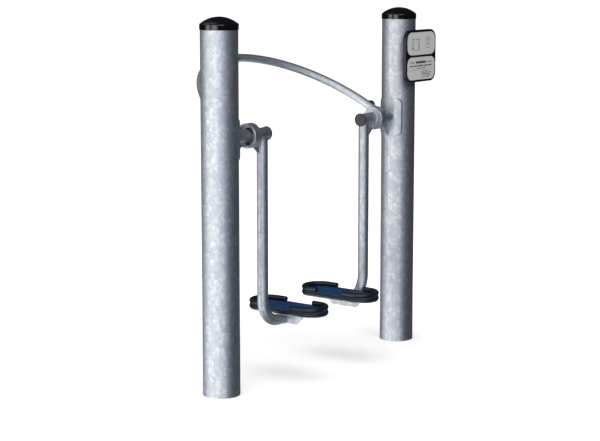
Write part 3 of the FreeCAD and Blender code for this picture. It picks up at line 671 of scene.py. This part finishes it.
def samples(total, settings):
    """Number of points along a bead of this length: eight for each ripple, within limits."""
    return int(np.clip(8.0 * total / settings.pitch, 16, 3000))


def branch_weld(root, axis, across, radius, surface_at, settings):
    """Weld round a tube that stands on another surface.

    At an angle a the corner lies at r (cos a, sin a) in the plane square to the tube, at the
    height where the other surface is. One leg runs along the tube, and the other is the radial
    direction laid into the tangent plane of that surface."""
    count = samples(2.0 * math.pi * radius, settings)
    a = np.linspace(0.0, 2.0 * math.pi, count, endpoint=False)[:, None]
    other = np.cross(axis, across)
    radial = across * np.cos(a) + other * np.sin(a)
    height, normal = surface_at(radial * radius)
    path = np.array(root) + radial * radius + axis * height
    along = np.broadcast_to(axis, path.shape)
    spread = unit(radial - normal * np.sum(radial * normal, axis=1, keepdims=True))
    return bead(path, along, spread, settings.leg, settings, closed=True)


def flat_surface(axis):
    """Surface square to the tube."""
    return lambda offset: (np.zeros((len(offset), 1)), np.broadcast_to(axis, offset.shape))


def round_surface(axis, tube_radius, lying):
    """Surface of a tube whose own axis is the direction lying and passes through the root.

    With s the distance of a point from the plane of both axes, the height is sqrt(R^2 - s^2)."""
    sideways = np.cross(axis, lying)

    def at(offset):
        s = offset @ sideways
        height = np.sqrt(tube_radius ** 2 - s ** 2)
        normal = (axis * height[:, None] + sideways * s[:, None]) / tube_radius
        return height[:, None], normal

    return at


def line_weld(start, end, first, second, settings):
    """Straight thin weld between two points, with the directions of its legs."""
    start, end = np.array(start, float), np.array(end, float)
    t = np.linspace(0.0, 1.0, samples(np.linalg.norm(end - start), settings))[:, None]
    path = start + (end - start) * t
    ones = np.ones((len(path), 1))
    first, second = (unit(np.array(way, float)) * ones for way in (first, second))
    return bead(path, first, second, settings.leg * settings.rib_share, settings)


def saddle_weld(settings):
    """Weld round the left saddle plate on the post.

    The outline is a rounded rectangle with corner radius c: quarter circles, each followed by a
    straight run. Each point is laid on the post at x = sqrt(R^2 - y^2), one leg stands square on
    the post and the other follows the outline's outward normal."""
    low, high = corners("left_saddle_plate")
    post_x, radius = span("left_post", 0)
    corner = 0.022
    half = (high - low)[1:] / 2.0
    middle_z = (low[2] + high[2]) / 2.0
    straight = 2.0 * (half - corner)
    quarter = corner * math.pi / 2.0
    total = 4.0 * quarter + 2.0 * straight.sum()
    s = np.linspace(0.0, total, samples(total, settings), endpoint=False)
    y, z, ny, nz = np.zeros((4, len(s)))
    start = 0.0
    for k, (sy, sz) in enumerate(((1, 1), (-1, 1), (-1, -1), (1, -1))):
        length = straight[k % 2]
        here = (s >= start) & (s < start + quarter + length)
        angle = math.pi / 2.0 * k + np.minimum((s[here] - start) / corner, math.pi / 2.0)
        run = np.maximum(s[here] - start - quarter, 0.0)
        ny[here], nz[here] = np.cos(angle), np.sin(angle)
        y[here] = sy * (half[0] - corner) + corner * ny[here] - nz[here] * run
        z[here] = sz * (half[1] - corner) + corner * nz[here] + ny[here] * run
        start += quarter + length
    out = np.sqrt(radius ** 2 - y ** 2)
    path = np.stack([post_x + out, y, middle_z + z], axis=-1)
    normal = np.stack([out, y, np.zeros_like(y)], axis=-1) / radius
    away = np.stack([np.zeros_like(y), ny, nz], axis=-1)
    away = unit(away - normal * np.sum(away * normal, axis=1, keepdims=True))
    return bead(path, normal, away, settings.saddle_leg, settings, closed=True)


def hub_welds(settings):
    """Welds of the left hub's fixed side: saddle plate, stub and ribs.

    The beads of a rib stop a few millimetres short of the others."""
    post_x = span("left_post", 0)[0]
    axis_z, stub_r = span("left_stub_tube", 2)
    saddle_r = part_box("left_saddle_plate")[1][0] - post_x
    parts = [
        saddle_weld(settings),
        branch_weld((post_x, 0.0, axis_z), X, Y, stub_r, round_surface(X, saddle_r, Z), settings),
    ]
    shortest = 0.01
    for node, way in (("left_upper_rib", 1.0), ("left_lower_rib", -1.0)):
        low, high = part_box(node)
        half = span(node, 1)[1]
        rise = math.sqrt(stub_r ** 2 - half ** 2)
        stub_z = axis_z + way * rise
        top_z = high[2] if way > 0 else low[2]
        saddle_x = post_x + math.sqrt(saddle_r ** 2 - half ** 2)
        for y_side in (1.0, -1.0):
            y = y_side * half
            parts.append(line_weld((saddle_x + 0.004, y, stub_z), (high[0] - 0.002, y, stub_z),
                                   way * Z, (0.0, y_side * rise, -way * half), settings))
            if abs(top_z - stub_z) > shortest:
                parts.append(line_weld((saddle_x, y, stub_z + way * 0.004),
                                       (saddle_x, y, top_z - way * 0.003),
                                       X, y_side * Y, settings))
    return parts


def leg_welds(settings):
    """Welds of the left leg: pivot tube on the housing, arm on the pivot tube, foot and gusset.

    The straight ones stop a few millimetres short of the others."""
    axis_z, pivot_r = span("left_pivot_tube", 2)
    front_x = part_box("left_hub_housing")[1][0]
    arm_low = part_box("left_arm_tube")[0]
    arm_r = span("left_arm_tube", 1)[1]
    arm_x, foot_z = arm_low[0] + arm_r, arm_low[2] + arm_r
    gusset_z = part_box("left_arm_gusset")[0][2]
    half = span("left_arm_gusset", 1)[1]
    bracket_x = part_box("left_pedal_bracket")[0][0]
    rounds = (
        ((front_x, 0.0, axis_z), X, Y, pivot_r, flat_surface(X)),
        ((arm_x, 0.0, axis_z), -Z, X, arm_r, round_surface(-Z, pivot_r, X)),
        ((bracket_x, 0.0, foot_z), -X, Y, arm_r, flat_surface(-X)),
    )
    parts = [branch_weld(*weld, settings) for weld in rounds]
    reach = math.sqrt(arm_r ** 2 - half ** 2)
    under = math.sqrt(pivot_r ** 2 - half ** 2)
    arm_side, below = arm_x - reach, axis_z - under
    for y_side in (1.0, -1.0):
        y = y_side * half
        lines = (
            ((arm_side, y, below - 0.006), (arm_side, y, gusset_z + 0.002),
             -X, (half, y_side * reach, 0.0)),
            ((front_x + 0.005, y, below), (arm_side - 0.004, y, below),
             -Z, (0.0, y_side * under, half)),
            ((front_x, y, below - 0.004), (front_x, y, below - 0.018), X, y_side * Y),
        )
        parts += [line_weld(*weld, settings) for weld in lines]
    return parts


# Sign marks

# Generic marks, in metres from the middle of their plate.
# Thin lines of the upper plate: two points, and a multiple of the set width.
FRAME_LINES = (
    (((-0.066, -0.03), (-0.066, 0.026)), 1.0),
    (((-0.014, -0.03), (-0.014, 0.026)), 1.0),
    (((-0.066, 0.018), (-0.014, 0.018)), 1.0),
    (((-0.05, 0.018), (-0.062, -0.018)), 1.0),
    (((-0.068, -0.018), (-0.056, -0.018)), 1.8),
    (((-0.03, 0.018), (-0.018, -0.018)), 1.0),
    (((-0.024, -0.018), (-0.012, -0.018)), 1.8),
)
# Red bar beside them: two points, the width, and not closed.
RED_BAR = (((0.05, 0.003), (0.05, -0.008)), 0.008, False)
# Rules of the lower plate: height of the row, width, and where each rule starts and ends.
RULES = (
    (0.025, 0.0034, ((-0.08, -0.05), (0.05, 0.08))),
    (0.025, 0.0085, ((-0.04, 0.036),)),
    (0.011, 0.005, ((-0.082, -0.062), (-0.056, -0.03), (-0.026, 0.014),
                    (0.018, 0.044), (0.048, 0.078))),
    (0.001, 0.0026, ((-0.034, -0.008), (-0.004, 0.034))),
    (-0.006, 0.0009, ((-0.086, 0.086),)),
    (-0.013, 0.002, ((0.004, 0.022), (0.026, 0.05))),
    (-0.0185, 0.002, ((0.004, 0.03), (0.034, 0.078))),
    (-0.024, 0.002, ((0.004, 0.04), (0.044, 0.07))),
    (-0.0295, 0.002, ((0.004, 0.02), (0.024, 0.074))),
    (-0.037, 0.002, ((0.004, 0.034), (0.038, 0.062))),
)


def stroke(points, width, front, depth, closed):
    """Printed line along points in width and height of the sign.

    Each point is widened by half the width along the line's normal, and the ink stands off the
    plate by its depth."""
    if closed:
        along = np.roll(points, -1, axis=0) - np.roll(points, 1, axis=0)
    else:
        along = np.gradient(points, axis=0)
    normal = unit(np.stack([-along[:, 1], along[:, 0]], axis=-1)) * width / 2.0
    left, right = points + normal, points - normal
    edges = [(left, 0.0), (right, 0.0), (right, depth), (left, depth)]
    rings = np.stack([np.stack([flat[:, 0], np.full(len(flat), front - lift), flat[:, 1]], axis=-1)
                      for flat, lift in edges], axis=1)
    return lattice(rings, close_rows=True, close_columns=True) if closed else lidded(rings)


def arc(centre, radius, start, end, count):
    """Points on a circle between two angles in degrees."""
    a = np.radians(np.linspace(start, end, count))
    return np.stack([centre[0] + radius * np.cos(a), centre[1] + radius * np.sin(a)], axis=-1)


def rounded_outline(centre, width, height, radius):
    """Closed rounded rectangle: four quarter circles in turn."""
    quarters = []
    for k, (sx, sz) in enumerate(((1, 1), (-1, 1), (-1, -1), (1, -1))):
        middle = (centre[0] + sx * (width / 2.0 - radius), centre[1] + sz * (height / 2.0 - radius))
        quarters.append(arc(middle, radius, 90.0 * k, 90.0 * (k + 1), 9))
    return np.vstack(quarters)


# Operators

class AIRWALKER_OT_metal(bpy.types.Operator):
    """Give the galvanised, plated and machined nodes their metal finishes"""

    bl_idname = "air_walker.metal"
    bl_label = "Metal finishes"

    def execute(self, context):
        finish = context.scene.air_walker_finish
        give(galvanised("galvanised_steel", finish.zinc_light, finish.zinc_dark, finish.spangle_size),
             nodes_of("galvanised"))
        even = tuple((bright + dull) / 2.0 for bright, dull in zip(finish.zinc_light, finish.zinc_dark))
        give(galvanised("galvanised_bar", finish.zinc_light, even, finish.spangle_size * 0.6),
             ["handlebar"])
        for name, colour, roughness, axis_scale, slot in (
                ("plated_steel", finish.plated, 0.34, (1.0, 1.0, 4.0), "zinc_steel"),
                ("turned_steel", finish.bare_steel, 0.28, (40.0, 1.0, 1.0), "bare_steel"),
                ("bearing_bronze", finish.bronze, 0.30, (30.0, 1.0, 1.0), "bronze")):
            give(turned_metal(name, colour, roughness, axis_scale), nodes_of(slot))
        return {"FINISHED"}


class AIRWALKER_OT_plastic(bpy.types.Operator):
    """Give the caps and the sign case their moulded finishes"""

    bl_idname = "air_walker.plastic"
    bl_label = "Caps and sign case"

    def execute(self, context):
        finish = context.scene.air_walker_finish
        for name, colour, roughness, grain_depth, specular, slot in (
                ("gloss_cap_plastic", finish.cap_black, 0.16, 0.00003, 0.5, "gloss_black"),
                ("pivot_cap_plastic", finish.pivot_cap, 0.38, 0.00006, 0.5, "black_cap"),
                ("sign_case_plastic", finish.cap_black, 0.40, 0.00010, 0.4, "sign_black")):
            give(moulded_plastic(name, colour, roughness, grain_depth, specular), nodes_of(slot))
        return {"FINISHED"}


class AIRWALKER_OT_treads(bpy.types.Operator):
    """Give the treads their blue grit coating"""

    bl_idname = "air_walker.treads"
    bl_label = "Tread coating"

    def execute(self, context):
        finish = context.scene.air_walker_finish
        give(tread_coating("tread_coating", finish.tread), nodes_of("blue_tread"))
        return {"FINISHED"}


class AIRWALKER_OT_rubber(bpy.types.Operator):
    """Build the foot stops, edge pads and stop buffers in rubber"""

    bl_idname = "air_walker.rubber"
    bl_label = "Rubber mouldings"

    def execute(self, context):
        settings = context.scene.air_walker_moulding
        rubber = moulded_rubber("moulded_rubber", context.scene.air_walker_finish.rubber)
        buffers = {"left": [stop_buffer(settings)]}
        buffers["right"] = mirrored(buffers["left"])
        for side, buffer in buffers.items():
            leg = side + "_leg"
            for end in ("front", "rear"):
                node, part = foot_stop(side, end, settings)
                piece("%s_%s_foot_stop" % (side, end), [part], rubber, leg, (node,), 50.0)
            node, part = edge_pad(side, settings)
            piece(side + "_pad_moulding", [part], rubber, leg, (node,))
            piece(side + "_buffer_moulding", buffer, rubber, "frame",
                  (side + "_stop_buffer",), 50.0)
        return {"FINISHED"}


class AIRWALKER_OT_welds(bpy.types.Operator):
    """Lay the weld beads of the hubs and legs"""

    bl_idname = "air_walker.welds"
    bl_label = "Weld beads"

    def execute(self, context):
        finish = context.scene.air_walker_finish
        settings = context.scene.air_walker_weld
        zinc = galvanised("galvanised_bead", finish.zinc_light, finish.zinc_dark,
                          finish.spangle_size * 0.4, swell=0.0006)
        hub, leg = hub_welds(settings), leg_welds(settings)
        for name, beads, body in (
                ("left_hub_welds", hub, "frame"),
                ("right_hub_welds", mirrored(hub), "frame"),
                ("left_leg_welds", leg, "left_leg"),
                ("right_leg_welds", mirrored(leg), "right_leg")):
            piece(name, beads, zinc, body, sharp=60.0)
        return {"FINISHED"}


class AIRWALKER_OT_sign(bpy.types.Operator):
    """Finish the sign plates and print generic marks on them"""

    bl_idname = "air_walker.sign"
    bl_label = "Sign plates and marks"

    def execute(self, context):
        finish, settings = context.scene.air_walker_finish, context.scene.air_walker_sign
        give(printed_plate("sign_plate", finish.sign_plate), nodes_of("sign_plate"))
        line = settings.line

        def print_marks(name, plate, marks, ink, colour):
            low, high = corners(plate)
            middle = ((low + high) / 2.0)[[0, 2]]
            parts = [stroke(middle + np.array(points), width, low[1], settings.ink, closed)
                     for points, width, closed in marks]
            piece(name, parts, printed_ink(ink, colour), "frame")

        outlines = [(points, line * share, False) for points, share in FRAME_LINES]
        outlines.append((arc((-0.040, 0.018), 0.045, 245.0, 295.0, 40), line, False))
        outlines.append((rounded_outline((0.050, 0.002), 0.030, 0.040, 0.004), line, True))
        outlines.append((arc((0.050, 0.012), 0.0035, 0.0, 360.0, 25)[:-1], line, True))
        rules = [(((start, z), (end, z)), width, False)
                 for z, width, runs in RULES for start, end in runs]
        print_marks("sign_outline_marks", "sign_panel_upper", outlines, "grey_ink", finish.ink_grey)
        print_marks("sign_red_mark", "sign_panel_upper", [RED_BAR], "red_ink", finish.ink_red)
        print_marks("sign_rule_marks", "sign_panel_lower", rules, "dark_ink", finish.ink_dark)
        return {"FINISHED"}


# Stage

# Large lamps: name, place, what it points at, and width. Their power is a setting.
LAMPS = (
    ("key", (-4.4, -1.2, 2.2), (0.0, 0.0, 0.8), 3.0),
    ("front", (-1.6, -4.9, 2.2), (0.0, 0.0, 0.8), 3.0),
    ("overhead", (-0.2, 0.2, 3.6), (0.0, 0.0, 0.0), 2.8),
)
WHITE = (1.0, 1.0, 1.0)
COOL = (0.86, 0.95, 1.08)
# Soft panels of the studio, which metal and gloss reflect:
# name, azimuths, height angles, tone and hue. Azimuth 0 degrees is -Y and 90 is +X.
STUDIO_PANELS = (
    ("back_panel", (184, 212), (-62, -16), 1.6, (0.90, 0.96, 1.05)),
    ("far_left_panel", (-150, -128), (-55, -14), 2.4, COOL),
    ("left_panel", (-128, -103), (-55, 22), 3.7, WHITE),
    ("front_panel", (-93, -63), (-25, 26), 3.75, WHITE),
    ("side_panel", (-60, -22), (17, 42), 5.6, COOL),
    ("low_panel", (-60, -28), (-60, -15), 3.6, COOL),
    ("right_panel", (55, 120), (-70, -30), 1.0, (0.82, 0.93, 1.12)),
    ("far_right_panel", (116, 150), (-50, -6), 1.5, COOL),
    ("high_panel", (-36, 14), (54, 75), 0.6, WHITE),
    ("overhead_panel", (168, 240), (35, 88), 0.66, WHITE),
)
PANEL_DISTANCE = 11.0
WALL_DISTANCE = 12.0
STUDIO_MIDDLE = 0.7
FLOOR_REACH = 80.0
FADE_RANGE = 5.0
CAMERA_PLACE = (-5.3114, -3.9697, 1.6623)
CAMERA_TURN = (80.748, 0.0, -52.717)
SENSOR_WIDTH = 36.0


def stage_mesh(name, points, faces, material):
    """Mesh of the stage, which isn't part of the object."""
    mesh = bpy.data.meshes.new(name)
    mesh.from_pydata(points.tolist(), [], faces[0].tolist())
    mesh.materials.append(material)
    made = bpy.data.objects.new(name, mesh)
    bpy.context.scene.collection.objects.link(made)
    return made


def lamp(name, place, target, width, power):
    """Square soft lamp that neither the camera nor a reflection shows."""
    data = bpy.data.lights.new(name, "AREA")
    data.shape = "SQUARE"
    data.size = width
    data.energy = power
    made = bpy.data.objects.new(name, data)
    made.location = place
    made.rotation_euler = pointing(np.array(target) - place)
    made.visible_camera = False
    made.visible_glossy = False
    bpy.context.scene.collection.objects.link(made)


def pointing(direction):
    """Turn that points a lamp along a direction: up from straight down, then round."""
    flat = math.hypot(direction[0], direction[1])
    return (math.atan2(flat, -direction[2]), 0.0, math.atan2(-direction[0], direction[1]))


def studio_shell(name, azimuths, heights, distance, tone, colour):
    """Glowing part of a sphere round the object, which only reflections show.

    A point at azimuth a and height angle e is d (cos e sin a, -cos e cos a, sin e), raised to the
    middle of the object."""
    a, e = np.meshgrid(np.radians(np.linspace(*azimuths, 49)), np.radians(np.linspace(*heights, 25)),
                       indexing="ij")
    points = distance * np.stack([np.cos(e) * np.sin(a), -np.cos(e) * np.cos(a), np.sin(e)], axis=-1)
    tree = NodeTree(bpy.data.materials.new(name))
    glow = tree.finished({"Color": opaque(colour), "Strength": tone}, "ShaderNodeEmission")
    made = stage_mesh(name, *lattice(points + STUDIO_MIDDLE * Z), glow)
    made.visible_camera = False
    made.visible_diffuse = False
    made.visible_shadow = False


class AIRWALKER_OT_stage(bpy.types.Operator):
    """Set up the floor, the light and the camera"""

    bl_idname = "air_walker.stage"
    bl_label = "Stage"

    def execute(self, context):
        scene, stage = context.scene, context.scene.air_walker_stage
        scene.view_settings.view_transform = "Standard"
        self.make_world(scene, stage)
        self.make_floor(stage)
        studio_shell("dark_walls", (-180, 180), (-88, 88), WALL_DISTANCE, stage.walls, stage.tint)
        for name, azimuths, heights, tone, hue in STUDIO_PANELS:
            studio_shell(name, azimuths, heights, PANEL_DISTANCE, tone, hue)
        for name, place, target, width in LAMPS:
            lamp(name, place, target, width, getattr(stage, name + "_power"))
        self.make_camera(scene, stage)
        return {"FINISHED"}

    def make_world(self, scene, stage):
        """White where it is seen, and an even fill for soft light."""
        scene.world = bpy.data.worlds.new("studio")
        tree = NodeTree(scene.world)
        fill = tree.node("ShaderNodeBackground", {}, {"Color": opaque(WHITE), "Strength": stage.fill})
        backdrop = tree.node("ShaderNodeBackground", {}, {"Color": opaque(WHITE), "Strength": 1.0})
        mixed = tree.node("ShaderNodeMixShader", {}, {0: self.seen(tree), 1: fill, 2: backdrop})
        tree.node("ShaderNodeOutputWorld", {}, {"Surface": mixed})

    def make_floor(self, stage):
        """Pale floor that keeps its shadows near the object and turns white 1.5 m away."""
        tree = NodeTree(bpy.data.materials.new("floor_white"))
        matt = tree.node("ShaderNodeBsdfDiffuse", {}, {"Color": opaque(stage.floor)})
        away = tree.vectors("LENGTH", tree.place(), output="Value")
        far = tree.ramp(away * (1.0 / FADE_RANGE), (0.10, 0.0), (0.30, 1.0))
        white = self.seen(tree) * tree.levels(far, stage.floor_glow, 1.0)
        glow = tree.node("ShaderNodeEmission", {}, {"Color": white, "Strength": 1.0})
        both = tree.finished({0: matt, 1: glow}, "ShaderNodeAddShader")
        line = np.linspace(-FLOOR_REACH, FLOOR_REACH, 33)
        x, y = np.meshgrid(line, line, indexing="ij")
        floor = stage_mesh("floor", *lattice(np.stack([x, y, np.zeros_like(x)], axis=-1)), both)
        floor.visible_glossy = False

    def make_camera(self, scene, stage):
        """The camera of the photograph."""
        data = bpy.data.cameras.new("photo_view")
        data.sensor_width = SENSOR_WIDTH
        data.lens = stage.lens
        camera = bpy.data.objects.new("photo_view", data)
        camera.location = CAMERA_PLACE
        camera.rotation_euler = [math.radians(angle) for angle in CAMERA_TURN]
        scene.collection.objects.link(camera)
        scene.camera = camera

    @staticmethod
    def seen(tree):
        """1 for what the camera, reflections and clear materials show, and 0 for soft light."""
        total = None
        for kind in ("Is Camera Ray", "Is Glossy Ray", "Is Transmission Ray"):
            ray = tree.node("ShaderNodeLightPath", output=kind)
            total = ray if total is None else total + ray
        return total.maths("MINIMUM", total, 1.0)


OPERATORS = (
    AIRWALKER_OT_metal, AIRWALKER_OT_plastic, AIRWALKER_OT_treads, AIRWALKER_OT_rubber,
    AIRWALKER_OT_welds, AIRWALKER_OT_sign, AIRWALKER_OT_stage,
)
SETTINGS = {
    "air_walker_finish": FinishSettings,
    "air_walker_moulding": MouldingSettings,
    "air_walker_weld": WeldSettings,
    "air_walker_sign": SignSettings,
    "air_walker_stage": StageSettings,
}


class AIRWALKER_PT_panel(bpy.types.Panel):
    """Settings and steps of the air walker"""

    bl_idname = "AIRWALKER_PT_panel"
    bl_label = "Air walker"
    bl_space_type = "VIEW_3D"
    bl_region_type = "UI"
    bl_category = "Air walker"

    def draw(self, context):
        for name, group in SETTINGS.items():
            box = self.layout.box()
            for key in group.__annotations__:
                box.prop(getattr(context.scene, name), key)
        for operator in OPERATORS:
            self.layout.operator(operator.bl_idname)


CLASSES = (*SETTINGS.values(), *OPERATORS, AIRWALKER_PT_panel)


def register():
    for cls in CLASSES:
        bpy.utils.register_class(cls)
    for name, group in SETTINGS.items():
        setattr(bpy.types.Scene, name, PointerProperty(type=group))


def unregister():
    for name in SETTINGS:
        delattr(bpy.types.Scene, name)
    for cls in reversed(CLASSES):
        bpy.utils.unregister_class(cls)


def main():
    register()
    for operator in OPERATORS:
        group, name = operator.bl_idname.split(".")
        getattr(getattr(bpy.ops, group), name)()


if __name__ == "__main__":
    main()
